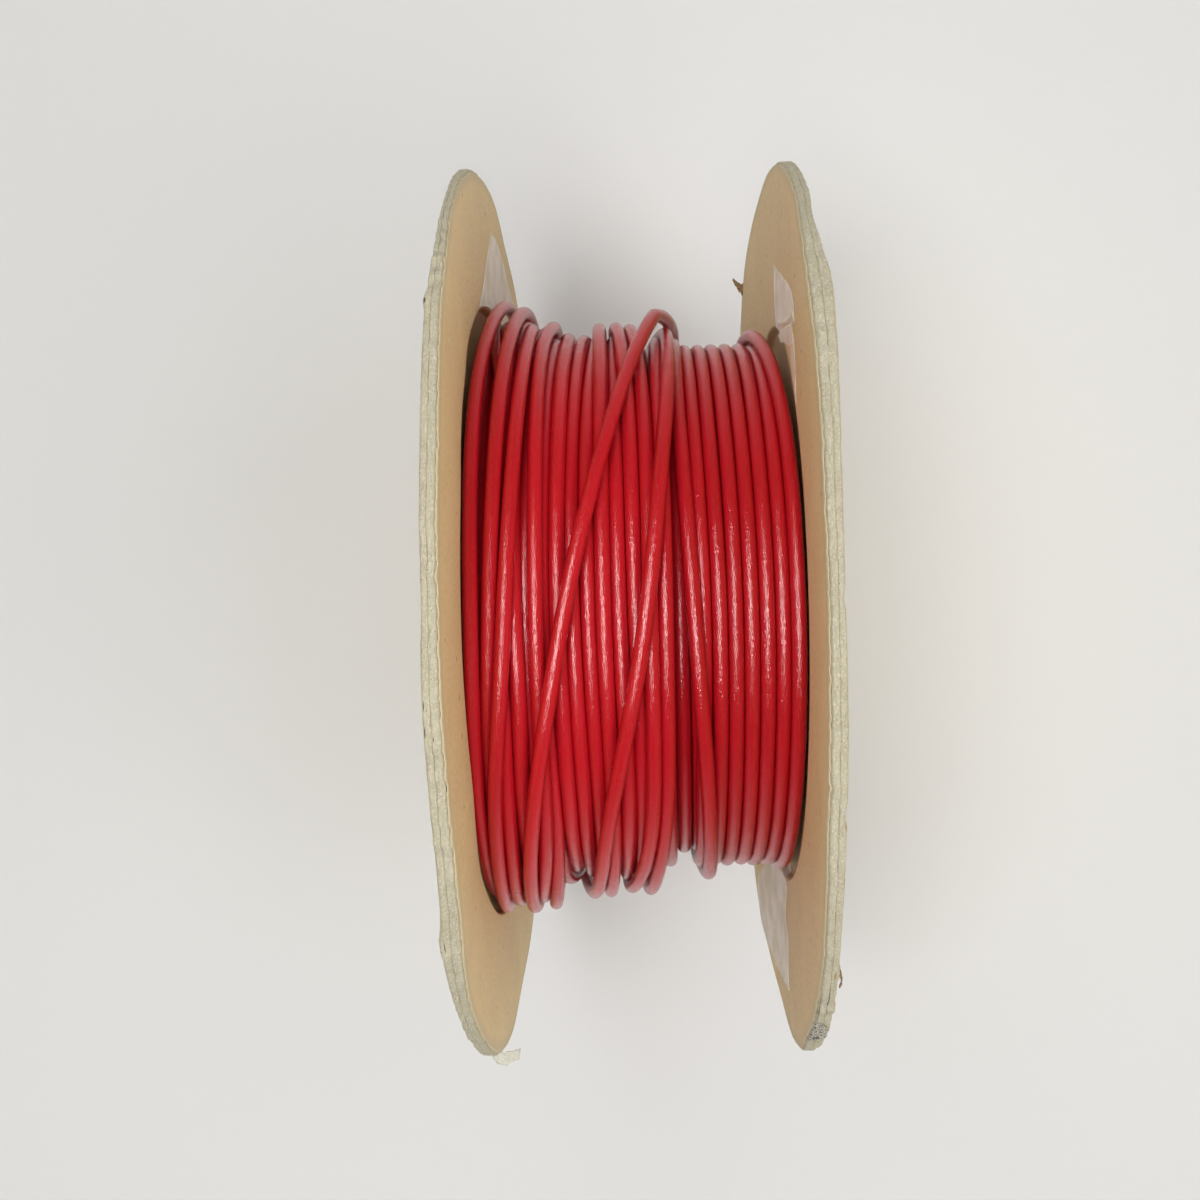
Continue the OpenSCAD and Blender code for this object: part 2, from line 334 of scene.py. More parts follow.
def surface_grain():
    """Node group: noise stretched along a surface, as a mask from 0 to 1 and as a bumped normal."""
    group = bpy.data.node_groups.new("surface_grain", "ShaderNodeTree")
    sockets = group.interface
    sockets.new_socket("Vector", in_out="INPUT", socket_type="NodeSocketVector")
    for name, value in (("Size", 1.0), ("Stretch", 1.0), ("Detail", 3.0), ("Height", 0.1)):
        sockets.new_socket(name, in_out="INPUT", socket_type="NodeSocketFloat").default_value = value
    sockets.new_socket("Mask", in_out="OUTPUT", socket_type="NodeSocketFloat")
    sockets.new_socket("Normal", in_out="OUTPUT", socket_type="NodeSocketVector")
    given = put(group, "NodeGroupInput")
    stretched = put(group, "ShaderNodeCombineXYZ", {1: 1.0, 2: 1.0})
    inverse = put(group, "ShaderNodeMath", {0: 1.0, 1: given.outputs["Stretch"]}, operation="DIVIDE")
    group.links.new(inverse.outputs[0], stretched.inputs[0])
    narrowed = put(
        group,
        "ShaderNodeVectorMath",
        {0: given.outputs["Vector"], 1: stretched.outputs[0]},
        operation="MULTIPLY",
    )
    finer = put(group, "ShaderNodeMath", {0: 1.0, 1: given.outputs["Size"]}, operation="DIVIDE")
    noise = put(
        group,
        "ShaderNodeTexNoise",
        {"Vector": narrowed.outputs[0], "Scale": finer.outputs[0], "Detail": given.outputs["Detail"]},
    )
    bump = put(
        group,
        "ShaderNodeBump",
        {"Height": noise.outputs[0], "Distance": given.outputs["Height"], "Strength": 1.0},
    )
    put(group, "NodeGroupOutput", {"Mask": noise.outputs[0], "Normal": bump.outputs[0]})


def place_grain(tree, vector, size, stretch, detail, height):
    """surface_grain in a material, with the given values."""
    node = put(tree, "ShaderNodeGroup", node_tree=bpy.data.node_groups["surface_grain"])
    tree.links.new(vector, node.inputs["Vector"])
    for name, value in (("Size", size), ("Stretch", stretch), ("Detail", detail), ("Height", height)):
        node.inputs[name].default_value = value
    return node


def remap(tree, value, low, high, to_low=0.0, to_high=1.0):
    """A value carried from low .. high to to_low .. to_high, and held beyond both ends."""
    ends = {"From Min": low, "From Max": high, "To Min": to_low, "To Max": to_high}
    return put(tree, "ShaderNodeMapRange", {"Value": value, **ends}).outputs[0]


def blend_colours(tree, mask, low, high, first, second):
    """first where the mask is under low, second where it is over high, and a mix between."""
    mix = put(tree, "ShaderNodeMix", {"Factor": remap(tree, mask, low, high)}, data_type="RGBA")
    for key, colour in (("A", first), ("B", second)):
        socket = next(s for s in mix.inputs if s.name == key and s.type == "RGBA")
        if isinstance(colour, bpy.types.NodeSocket):
            tree.links.new(colour, socket)
        else:
            socket.default_value = (*colour, 1)
    return next(s for s in mix.outputs if s.type == "RGBA")


def cover(tree, shader, colour, grain):
    """Gives a shader its colour and a grain's normal."""
    tree.links.new(colour, shader.inputs["Base Color"])
    tree.links.new(grain.outputs["Normal"], shader.inputs["Normal"])


surface_grain()


def wire_jacket():
    """Glossy red PVC with a fine grain, a little longer along the wire, that breaks up its highlights."""
    made, tree, shader = new_material("wire_jacket", 0.17)
    surface = put(tree, "ShaderNodeUVMap", uv_map="surface_mm")
    grain = place_grain(tree, surface.outputs[0], size=0.15, stretch=1.6, detail=1.0, height=0.065 * mm)
    cloud = place_grain(tree, surface.outputs[0], size=6.0, stretch=3.0, detail=2.0, height=0.0)
    colour = blend_colours(
        tree, cloud.outputs["Mask"], 0.3, 0.7, (0.45, 0.006, 0.0115), (0.52, 0.008, 0.016)
    )
    rough = remap(tree, grain.outputs["Mask"], 0.3, 0.7, 0.14, 0.24)
    tree.links.new(rough, shader.inputs["Roughness"])
    cover(tree, shader, colour, grain)
    return made


jacket = wire_jacket()
winding = laid_winding()
wire = tube("wound_wire", winding, wire_d / 2, 12, jacket)
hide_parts("wire_top_layer")


# ---- Lower layers of the winding ----
# The rest of the wire's length, wound tight on the barrel under the turns that show. Made as one
# ridged body: a ridge for each turn, climbing along the axis, and rings of ridges at both ends.
core_pitch = 1.6
barrel_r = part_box("barrel_tube")[1].y / mm


def ridge(distance):
    """How far the surface of a row of wires lies below its crests, at a distance across the row: the round
    of the nearest wire, d/2 - sqrt((d/2)^2 - offset^2). The grooves between the wires have a floor."""
    groove_floor = 0.02
    offset = (distance / core_pitch - np.round(distance / core_pitch)) * core_pitch
    half = wire_d / 2
    return half - np.sqrt(np.clip(half**2 - offset**2, groove_floor, None))


def lower_layers():
    """Rows go round the body's outline: along the top from right to left, down the left end, along the barrel
    and up the right end. Crests follow a helix, so their phase turns with the angle."""
    levels_down = 2.5         # from the pass that comes back
    barrel_gap = 0.05
    x_end = inner_face - 0.55
    top_x = np.linspace(x_end, -x_end, 170)
    top_r = np.interp(top_x, pile_x, pile_r) - levels_down * level_rise + wire_d / 2
    end_r = np.linspace(top_r[-1], barrel_r + barrel_gap, 70)[1:]
    back_r = np.linspace(barrel_r + barrel_gap, top_r[0], 64)[:-1]
    x = np.concatenate([top_x, np.full_like(end_r, -x_end), np.full_like(back_r, x_end)])[:, None]
    r = np.concatenate([top_r, end_r, back_r])[:, None]
    turn = (np.arange(stations) / stations)[None]
    on_top = (np.arange(len(x)) < len(top_x))[:, None]
    r_out = r - np.where(on_top, ridge(x + core_pitch * turn), 0)
    x_out = x - np.sign(x) * np.where(on_top, 0, ridge(r + core_pitch * turn))
    a = 2 * np.pi * turn
    points = np.stack([x_out, r_out * np.sin(a), r_out * np.cos(a)], 2).reshape(-1, 3)
    faces, corner_rows, corner_cols = quads(len(x), stations, rows_join=True, cols_join=True)
    mean_r, row_mm = 30, 0.2
    uv = np.stack([corner_cols * (2 * np.pi * mean_r / stations), corner_rows * row_mm], 2)
    return new_piece("lower_layers", points, faces, jacket, uv.reshape(-1, 2))


core = lower_layers()
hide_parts("wire_lower_layers")


# ---- Ends of the wire ----
# The inner end comes out through the start hole in the left flange and is cut off flush. The outer end
# lies on the pile at the underside. Both show their seven copper strands.
start_r = 22.5
start_angle = math.radians(35)
strand_d = 0.25


def object_mm(tree):
    """The place on a piece, in millimetres."""
    place = put(tree, "ShaderNodeTexCoord")
    to_mm = {"Vector": place.outputs["Object"], "Scale": (1000, 1000, 1000)}
    return put(tree, "ShaderNodeMapping", to_mm).outputs[0]


def strand_metal():
    """Copper, mottled from dull to bright."""
    made, tree, shader = new_material("strand_metal", 0.3)
    cuts = place_grain(tree, object_mm(tree), size=0.08, stretch=1.0, detail=2.0, height=0.01 * mm)
    colour = blend_colours(
        tree, cuts.outputs["Mask"], 0.35, 0.65, (0.62, 0.36, 0.22), (0.78, 0.62, 0.48)
    )
    shader.inputs["Metallic"].default_value = 1
    cover(tree, shader, colour, cuts)
    return made


copper = strand_metal()


def strands(name, end, along):
    """Seven strands at a cut end, one in the middle and six round it, each a short rod along the wire,
    narrowed at its tip."""
    along = along / np.linalg.norm(along)
    side = np.cross(along, (1.0, 0.2, 0.3))
    side /= np.linalg.norm(side)
    up = np.cross(side, along)
    sides = 10
    spacing = 1.02            # of a strand's diameter
    tip_width = 0.8
    a = 2 * np.pi * np.arange(sides) / sides
    ring = 0.5 * strand_d * (np.cos(a)[:, None] * up + np.sin(a)[:, None] * side)
    points, faces = [], []
    for n in range(7):
        turned = math.radians(60 * n)
        out = 0 if n == 0 else strand_d * spacing
        middle = end + out * (math.cos(turned) * up + math.sin(turned) * side)
        first = len(points) * sides
        for forward, width in ((-0.4, 1), (0.04, 1), (0.07, tip_width)):
            points.append(middle + forward * along + width * ring)
        grid, _, _ = quads(3, sides, cols_join=True)
        faces += [*(grid + first), first + np.arange(sides)[::-1], first + 2 * sides + np.arange(sides)]
    return new_piece(name, np.concatenate(points), faces, copper)


strands("outer_end_strands", winding[-1], winding[-1] - winding[-2])

start_place = np.array((0, math.sin(start_angle), math.cos(start_angle))) * start_r
start_from = start_place - (inner_face - 0.3, 0, 0)
start_to = start_place - (inner_face + board_thick, 0, 0)
start_path = start_from + (start_to - start_from) * np.linspace(0, 1, 12)[:, None]
tail = tube("start_tail", start_path, wire_d / 2, 16, jacket)
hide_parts("wire_start_tail")
strands("start_tail_strands", start_to + (0.06, 0, 0), start_to - start_from)


# ---- Flanges ----
# Each is two plies of grey recycled board glued together and lined on both faces with kraft paper, all
# die-cut to a disc. Handling has furred the rims, opened the glue seam, and dented and bent the edge.
rim_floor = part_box("right_outer_board")[0].z / mm
arbor_r = next(m for m in frame["record"]["mounts"] if m["kind"] == "bore")["dims"]["r_mm"]
start_hole_r = 2.0

# Dents in the rims: the angle from straight up towards the far side, half the width as an angle, the depth
rim_dents = {
    LEFT: [(80, 9, 0.35), (106, 3, 0.6), (-118, 4, 0.5), (160, 8, 0.2), (-60, 3, 0.15)],
    RIGHT: [(76, 10, 0.7), (93, 4, 0.2), (-62, 3, 0.3), (-79, 5, 0.35), (-130, 6, 0.3)],
}
# Where the outer ply stands out, or is chipped away, along the axis: the angle, half the width, how far
ply_flares = {
    LEFT: [(34, 1.0, 0.22), (-36.5, 1.6, 0.3), (-43, 4, 0.08), (-57.5, 1.2, 0.12)],
    RIGHT: [
        (36, 3.0, 0.15), (-20.8, 0.8, -0.25), (0.6, 0.9, -0.2), (15, 1.2, -0.08), (-42.5, 0.9, 0.3),
        (-50, 1.0, 0.2), (-62, 7, 0.45),
    ],
}


def waves(seed, count, lowest, highest, angle):
    """A smooth random function of the angle round a disc, about 1 high: a sum of sines with whole numbers of
    waves between lowest and highest, and random phases."""
    draw = np.random.default_rng(seed)
    number = draw.integers(lowest, highest + 1, count)
    phase = draw.uniform(0, 2 * np.pi, count)
    return sum(np.sin(n * angle + p) for n, p in zip(number, phase)) / math.sqrt(count / 2)


def bumps(angle, places):
    """The sum of smooth bumps round a disc: each is its height times exp(-(distance / half width)^2)."""
    degrees = np.degrees(angle)
    return sum(high * np.exp(-((((degrees - at + 180) % 360 - 180) / wide) ** 2)) for at, wide, high in places)


def disc(name, side, near, far, hole_r, outer_r, material, is_board):
    """A closed disc with a hole, from near to far behind the inner face. Rows go round its section: along
    the rim, in over one face, along the hole and out over the other, closer where the face is pressed
    in and beside the hole. A board's rim is rounded at both corners by an uneven amount, with fine
    grains standing up from it; a liner's is worn back unevenly."""
    is_outer = near > 0.5
    cols = 1440 if is_board else 960
    angle = 2 * np.pi * np.arange(cols)[None] / cols
    thick = far - near
    rim_rows = 13 if is_board else 3
    rim_u = np.linspace(0, 1, rim_rows)
    face_r = hole_r + (outer_r - hole_r) * (1 - np.linspace(0, 1, 13)[1:] ** 2)
    step = pressed_to[side] - pressed_run * np.array([-0.3, 0, 0.3, 0.5, 0.7, 1])
    face_r = np.sort(np.concatenate([face_r, step, [hole_r + 0.2]]))[::-1]
    face_rows = len(face_r)
    u = np.concatenate([rim_u, np.ones(face_rows), [0.5], np.zeros(face_rows)])[:, None]
    r = np.concatenate([np.full(rim_rows, outer_r), face_r, [hole_r], face_r[::-1]])[:, None]
    on_rim = (np.arange(len(u)) < rim_rows)[:, None]
    depth = near + thick * u
    seed = 40 + 10 * side + round(10 * near)
    edge = np.exp(-(outer_r - r) / 0.7)
    wander = waves(11 + side, 30, 40, 170, angle) + 0.7 * waves(23 + side, 16, 9, 50, angle)
    if is_board:
        at_seam = 0.1 + 0.05 * np.clip(waves(seed, 30, 30, 200, angle), -1, 2)
        at_face = (0.28 if is_outer else 0.1) + 0.05 * waves(seed + 1, 30, 40, 240, angle)
        near_corner, far_corner = (at_seam, at_face) if is_outer else (at_face, at_seam)
        drop = 0
        for corner, distance in ((near_corner, thick * u), (far_corner, thick * (1 - u))):
            corner = np.clip(corner, 0.04, 0.45)
            inside = np.clip(corner - distance, 0, corner * 0.97)
            drop = drop + corner - np.sqrt(corner**2 - inside**2)
        grains = np.random.default_rng(seed + 2).normal(0, 1, (len(u), cols))
        grains = 0.5 * grains + 0.25 * (np.roll(grains, 1, 1) + np.roll(grains, -1, 1))
        layers = 0.008 * np.sin(2 * np.pi * (3.2 * u + 0.6 * waves(seed + 3, 12, 5, 40, angle)))
        r = r - on_rim * (drop + 0.022 * grains + layers) - edge * 0.045 * (wander + 1.6)
    else:
        worn = 0.1 + 0.05 * np.clip(waves(seed, 40, 120, 420, angle), -1.5, 3)
        r = r - edge * (worn + 0.045 * (wander + 1.6) + (0.25 if is_outer else 0))
    r = r - np.exp(-(outer_r - r) / 4) * bumps(angle, rim_dents[side])
    out = flange_face(side, r, angle, depth)
    flare = smooth_step((depth - 0.8) / 0.8) * np.exp(-(outer_r - r) / 1.5)
    x = side * (out + flare * bumps(angle, ply_flares[side]))
    y = r * np.sin(angle)
    z = np.maximum(r * np.cos(angle), rim_floor)
    points = np.stack([x, y, z], 2).reshape(-1, 3)
    faces, corner_rows, corner_cols = quads(len(u), cols, rows_join=True, cols_join=True)
    if side == RIGHT:
        faces, corner_rows, corner_cols = faces[:, ::-1], corner_rows[:, ::-1], corner_cols[:, ::-1]
    run = np.concatenate([rim_u * thick, thick + outer_r - face_r, [0], outer_r - face_r[::-1], [0]])
    own_start = 400 * (near + 2 * side)      # so that no two layers share a pattern
    uv = np.stack([own_start + corner_cols * (2 * np.pi * outer_r / cols), run[corner_rows]], 2)
    return new_piece(name, points, faces, material, uv.reshape(-1, 2))


def drill_start_hole(piece):
    """Cuts the hole that lets the wire's inner end out of the left flange."""
    bit_mesh = bpy.data.meshes.new("start_bit")
    sides = 32
    a = 2 * np.pi * np.arange(sides) / sides
    ring = np.stack([0 * a, np.cos(a), np.sin(a)], 1) * start_hole_r + start_place
    points = np.concatenate([ring - (inner_face - 1, 0, 0), ring - (inner_face + 4, 0, 0)])
    walls, _, _ = quads(2, sides, cols_join=True)
    faces = [*walls, np.arange(sides)[::-1], sides + np.arange(sides)]
    bit_mesh.from_pydata((points * mm).tolist(), [], [[int(v) for v in f[::-1]] for f in faces])
    bit = bpy.data.objects.new("start_bit", bit_mesh)
    bpy.context.collection.objects.link(bit)
    cut = piece.modifiers.new("start_hole", "BOOLEAN")
    cut.operation = "DIFFERENCE"
    cut.solver = "EXACT"
    cut.object = bit
    bpy.context.view_layer.update()
    cut_mesh = bpy.data.meshes.new_from_object(piece.evaluated_get(bpy.context.evaluated_depsgraph_get()))
    piece.modifiers.remove(cut)
    piece.data = cut_mesh
    bpy.data.objects.remove(bit)


# Marks on the rims, stains and the painted shade of a small hole: x, the angle, the size across the rim, along
# it and into it, and the colour
rim_stains_and_shade = [
    (-17.95, 33.6, 0.16, 0.5, 0.4, (0.10, 0.05, 0.02)),
    # painted shade: a near-black spot where the right rim shows a small hole; no hole is cut there
    (16.1, 3.8, 0.13, 0.3, 0.4, (0.04, 0.03, 0.02)),
    (-17.7, -8.6, 0.07, 0.55, 0.4, (0.07, 0.05, 0.03)),
    (-17.72, -11.2, 0.07, 0.5, 0.4, (0.08, 0.06, 0.04)),
    (-17.0, -11.9, 0.06, 0.3, 0.4, (0.08, 0.06, 0.04)),
    (-17.9, -36.5, 0.07, 1.1, 0.6, (0.12, 0.06, 0.02)),
    (-16.5, -54.6, 0.16, 0.25, 0.4, (0.20, 0.12, 0.05)),
    (-16.4, -58.0, 0.2, 0.3, 0.4, (0.20, 0.12, 0.05)),
    (-16.3, -62.0, 0.2, 0.25, 0.4, (0.22, 0.14, 0.06)),
    (17.1, -60.3, 0.45, 0.8, 0.9, (0.05, 0.05, 0.045)),
    (16.1, -55.0, 0.12, 2.2, 0.6, (0.20, 0.14, 0.08)),
    (16.6, -50.0, 0.06, 3.0, 0.6, (0.17, 0.14, 0.09)),
    (17.3, -47.0, 0.06, 2.6, 0.6, (0.18, 0.14, 0.09)),
    (16.3, -50.5, 0.25, 0.9, 0.9, (0.20, 0.12, 0.05)),
    (17.6, -42.5, 0.12, 0.8, 0.5, (0.35, 0.22, 0.08)),
    (17.62, -22.0, 0.12, 0.7, 0.5, (0.30, 0.18, 0.08)),
    (17.66, -28.5, 0.1, 0.9, 0.5, (0.33, 0.20, 0.09)),
]


def in_ellipsoid(tree, in_mm, x, degrees, size):
    """The distance from a place on the rim, in sizes across the rim, along it and into it."""
    rim_r = 50.6
    turned = math.radians(degrees)
    local = put(
        tree,
        "ShaderNodeMapping",
        {
            "Vector": in_mm,
            "Location": (x, rim_r * math.sin(turned), rim_r * math.cos(turned)),
            "Rotation": (-turned, 0, 0),
            "Scale": size,
        },
        vector_type="TEXTURE",
    )
    return put(tree, "ShaderNodeVectorMath", {0: local.outputs[0]}, operation="LENGTH").outputs["Value"]


def mark_rims(tree, in_mm, grain, colour):
    """The rim's marks over a colour. Each is an ellipsoid that fades out at its edge and is broken up by
    the grain."""
    for x, degrees, across, along, deep, tint in rim_stains_and_shade:
        far = in_ellipsoid(tree, in_mm, x, degrees, (across, along, deep))
        broken = put(tree, "ShaderNodeMath", {0: far, 1: grain}, operation="ADD")
        colour = blend_colours(tree, broken.outputs[0], 1.1, 1.5, tint, colour)
    return colour


def greyboard():
    """Recycled board: grey-green pulp laid down in thin sheets, so its cut edge shows fine lines along the
    rim, lighter fibres and darker specks. The right flange's foot is scuffed. Quite matt."""
    made, tree, shader = new_material("greyboard", 0.92)
    surface = put(tree, "ShaderNodeUVMap", uv_map="surface_mm").outputs[0]
    in_mm = object_mm(tree)
    fibre = place_grain(tree, surface, size=0.22, stretch=1.4, detail=4.0, height=0.06 * mm)
    cloud = place_grain(tree, surface, size=0.8, stretch=1.6, detail=4.0, height=0.0)
    sheets = place_grain(tree, surface, size=0.13, stretch=16.0, detail=2.0, height=0.0)
    speck = place_grain(tree, surface, size=0.13, stretch=1.3, detail=0.0, height=0.0)
    pulp = blend_colours(
        tree, cloud.outputs["Mask"], 0.32, 0.68, (0.40, 0.355, 0.245), (0.49, 0.445, 0.32)
    )
    lined = blend_colours(tree, sheets.outputs["Mask"], 0.24, 0.36, (0.30, 0.26, 0.16), pulp)
    fibres = blend_colours(tree, fibre.outputs["Mask"], 0.5, 0.75, lined, (0.62, 0.575, 0.43))
    specks = blend_colours(tree, speck.outputs["Mask"], 0.20, 0.27, (0.16, 0.14, 0.09), fibres)
    hatch = place_grain(tree, surface, size=0.14, stretch=2.4, detail=2.0, height=0.0)
    scuffed = blend_colours(
        tree, hatch.outputs["Mask"], 0.46, 0.56, (0.14, 0.115, 0.08), (0.62, 0.60, 0.50)
    )
    far = in_ellipsoid(tree, in_mm, 16.8, -58.0, (1.2, 4.0, 2.0))
    ragged = put(tree, "ShaderNodeMath", {0: far, 1: hatch.outputs["Mask"]}, operation="ADD")
    scuff = blend_colours(tree, ragged.outputs[0], 1.35, 1.6, scuffed, specks)
    marked = mark_rims(tree, in_mm, cloud.outputs["Mask"], scuff)
    cover(tree, shader, marked, fibre)
    return made


def kraft_paper():
    """Unbleached kraft paper: tan, with a fine grain, faint clouds and rare brown specks. It is rubbed
    through to a pale fibrous edge at the rim."""
    made, tree, shader = new_material("kraft_liner", 0.62)
    in_mm = object_mm(tree)
    grain = place_grain(tree, in_mm, size=0.45, stretch=1.0, detail=4.0, height=0.03 * mm)
    cloud = place_grain(tree, in_mm, size=7.0, stretch=1.0, detail=4.0, height=0.0)
    speck = place_grain(tree, in_mm, size=0.9, stretch=1.0, detail=0.0, height=0.0)
    sheet = blend_colours(
        tree, cloud.outputs["Mask"], 0.32, 0.68, (0.665, 0.505, 0.255), (0.73, 0.57, 0.29)
    )
    fibres = blend_colours(tree, grain.outputs["Mask"], 0.35, 0.75, sheet, (0.80, 0.65, 0.34))
    specks = blend_colours(tree, speck.outputs["Mask"], 0.13, 0.19, (0.36, 0.24, 0.12), fibres)
    from_axis = put(tree, "ShaderNodeVectorMath", {0: in_mm, 1: (0, 1, 1)}, operation="MULTIPLY")
    radius = put(tree, "ShaderNodeVectorMath", {0: from_axis.outputs[0]}, operation="LENGTH")
    uneven = put(
        tree,
        "ShaderNodeMath",
        {0: grain.outputs["Mask"], 1: 2.0, 2: radius.outputs["Value"]},
        operation="MULTIPLY_ADD",
    )
    rubbed = blend_colours(tree, uneven.outputs[0], 50.0, 51.6, specks, (0.54, 0.46, 0.28))
    cover(tree, shader, rubbed, grain)
    return made


board = greyboard()
kraft = kraft_paper()
for side, word in ((LEFT, "left"), (RIGHT, "right")):
    for layer in ("inner_liner", "inner_board", "outer_board", "outer_liner"):
        node = f"{word}_{layer}"
        lowest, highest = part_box(node)
        near, far = sorted((abs(lowest.x) / mm - inner_face, abs(highest.x) / mm - inner_face))
        is_board = layer.endswith("board")
        hole_r = barrel_r if layer.startswith("inner") else arbor_r
        piece = disc(
            f"{node}_sheet", side, near, far, hole_r, highest.y / mm, board if is_board else kraft, is_board
        )
        if side == LEFT:
            drill_start_hole(piece)
        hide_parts(node)


# ---- Barrel ----
# A tube of brown paper wound on a mandrel and glued end-on between the outer plies.
def barrel_paper():
    """Brown paper in spiral strips, with a faint seam between them."""
    made, tree, shader = new_material("barrel_paper", 0.85)
    in_mm = object_mm(tree)
    grain = place_grain(tree, in_mm, size=0.6, stretch=1.0, detail=4.0, height=0.02 * mm)
    strip = put(tree, "ShaderNodeMapping", {"Vector": in_mm, "Rotation": (0, 0, math.radians(35))})
    seams = put(
        tree,
        "ShaderNodeTexWave",
        {"Vector": strip.outputs[0], "Scale": 0.035, "Distortion": 0.3},
        wave_profile="SAW",
    )
    paper = blend_colours(
        tree, grain.outputs["Mask"], 0.3, 0.7, (0.36, 0.25, 0.14), (0.46, 0.33, 0.20)
    )
    seamed = blend_colours(tree, seams.outputs["Fac"], 0.0, 0.05, (0.22, 0.15, 0.09), paper)
    cover(tree, shader, seamed, grain)
    return made


barrel_slots = frame["nodes"]["barrel_tube"].data.materials
barrel_slots.clear()
barrel_slots.append(barrel_paper())


# ---- Scraps of clear film ----
# What is left of the wrapping film, stuck to the inner liners: thin, clear, hazy where it is
# creased, with torn edges.
film_thick = 0.03


def clear_film():
    """Hazy clear film, thicker to the eye in cloudy places and at its torn edges."""
    made, tree, shader = new_material("clear_film", 0.35)
    shader.inputs["Specular IOR Level"].default_value = 0.9
    surface = put(tree, "ShaderNodeUVMap", uv_map="surface_mm").outputs[0]
    crease = place_grain(tree, object_mm(tree), size=5.0, stretch=1.0, detail=1.0, height=0.02 * mm)
    colour = blend_colours(
        tree, crease.outputs["Mask"], 0.35, 0.65, (0.90, 0.86, 0.76), (0.95, 0.93, 0.86)
    )
    haze = remap(tree, crease.outputs["Mask"], 0.35, 0.65, 0.42, 0.58)
    from_edge = put(tree, "ShaderNodeSeparateXYZ", {0: surface}).outputs["X"]
    torn_edge = remap(tree, from_edge, 0.0, 0.35, 0.3, 0.0)
    alpha = put(tree, "ShaderNodeMath", {0: haze, 1: torn_edge}, operation="ADD")
    tree.links.new(alpha.outputs[0], shader.inputs["Alpha"])
    cover(tree, shader, colour, crease)
    return made


film = clear_film()


def along_edge(edge, count):
    """count points evenly along a line through an edge's points."""
    edge = np.array(edge, float)
    run = np.concatenate([[0], np.cumsum(np.linalg.norm(np.diff(edge, axis=0), axis=1))])
    at = np.linspace(0, run[-1], count)
    return np.stack([np.interp(at, run, edge[:, k]) for k in range(2)], 1)


def film_patch(side, edge_a, edge_b, creases, lift, seed):
    """One patch of film between two torn edges, each a line of (y, z) from one end to the other. A row of
    points joins the edges. The film lies lift off the flange's face and stands up along its creases,
    each a line from one (y, z) to another with a height. UV is the distance from the nearest edge
    and the place along the patch."""
    rows, cols = 90, 26
    row_mm = 0.2
    crease_width = 0.35
    a, b = along_edge(edge_a, rows), along_edge(edge_b, rows)
    s = np.linspace(0, 1, cols)[None, :, None]
    draw = np.random.default_rng(seed)
    not_at_ends = np.sin(np.pi * np.linspace(0, 1, rows))[:, None]
    ragged = softened(draw.normal(0, 1, (rows, 2)), 3) * 0.07 * not_at_ends
    yz = a[:, None] * (1 - s) + b[:, None] * s
    yz = yz + ragged[:, None] * (2 * s - 1)
    y, z = yz[..., 0], yz[..., 1]
    r, angle = np.hypot(y, z), np.arctan2(y, z)
    off = lift + 0.04 * (1 + np.sin(0.5 * y + 0.3 * z + seed) * np.sin(0.4 * z - 0.3 * y))
    for start, end, high in creases:
        start, end = np.array(start), np.array(end)
        run = end - start
        t = np.clip(((y - start[0]) * run[0] + (z - start[1]) * run[1]) / (run @ run), 0, 1)
        away = np.hypot(y - start[0] - t * run[0], z - start[1] - t * run[1])
        off = off + high * np.exp(-away / crease_width)
    x = side * (flange_face(side, r, angle) - off)
    points = np.stack([x, y, z], 2).reshape(-1, 3)
    faces, corner_rows, corner_cols = quads(rows, cols)
    width = np.linalg.norm(b - a, axis=1)
    share = corner_cols / (cols - 1)
    from_sides = np.minimum(share, 1 - share) * width[corner_rows]
    from_ends = np.minimum(corner_rows, rows - 1 - corner_rows) * row_mm
    uv = np.stack([np.minimum(from_sides, from_ends), corner_rows * row_mm], 2)
    if side == LEFT:
        faces, uv = faces[:, ::-1], uv[:, ::-1]
    return points, faces, uv.reshape(-1, 2)


def film_scrap(name, node, patches):
    """A piece of one or more patches of film, given a thickness. Film this clear casts no shadow to
    speak of."""
    points, faces, uv, count = [], [], [], 0
    for patch_points, patch_faces, patch_uv in patches:
        points.append(patch_points)
        faces.append(patch_faces + count)
        uv.append(patch_uv)
        count += len(patch_points)
    piece = new_piece(name, np.concatenate(points), np.concatenate(faces), film, np.concatenate(uv))
    solid = piece.modifiers.new("thickness", "SOLIDIFY")
    solid.thickness = film_thick * mm
    piece.visible_shadow = False
    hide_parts(node)


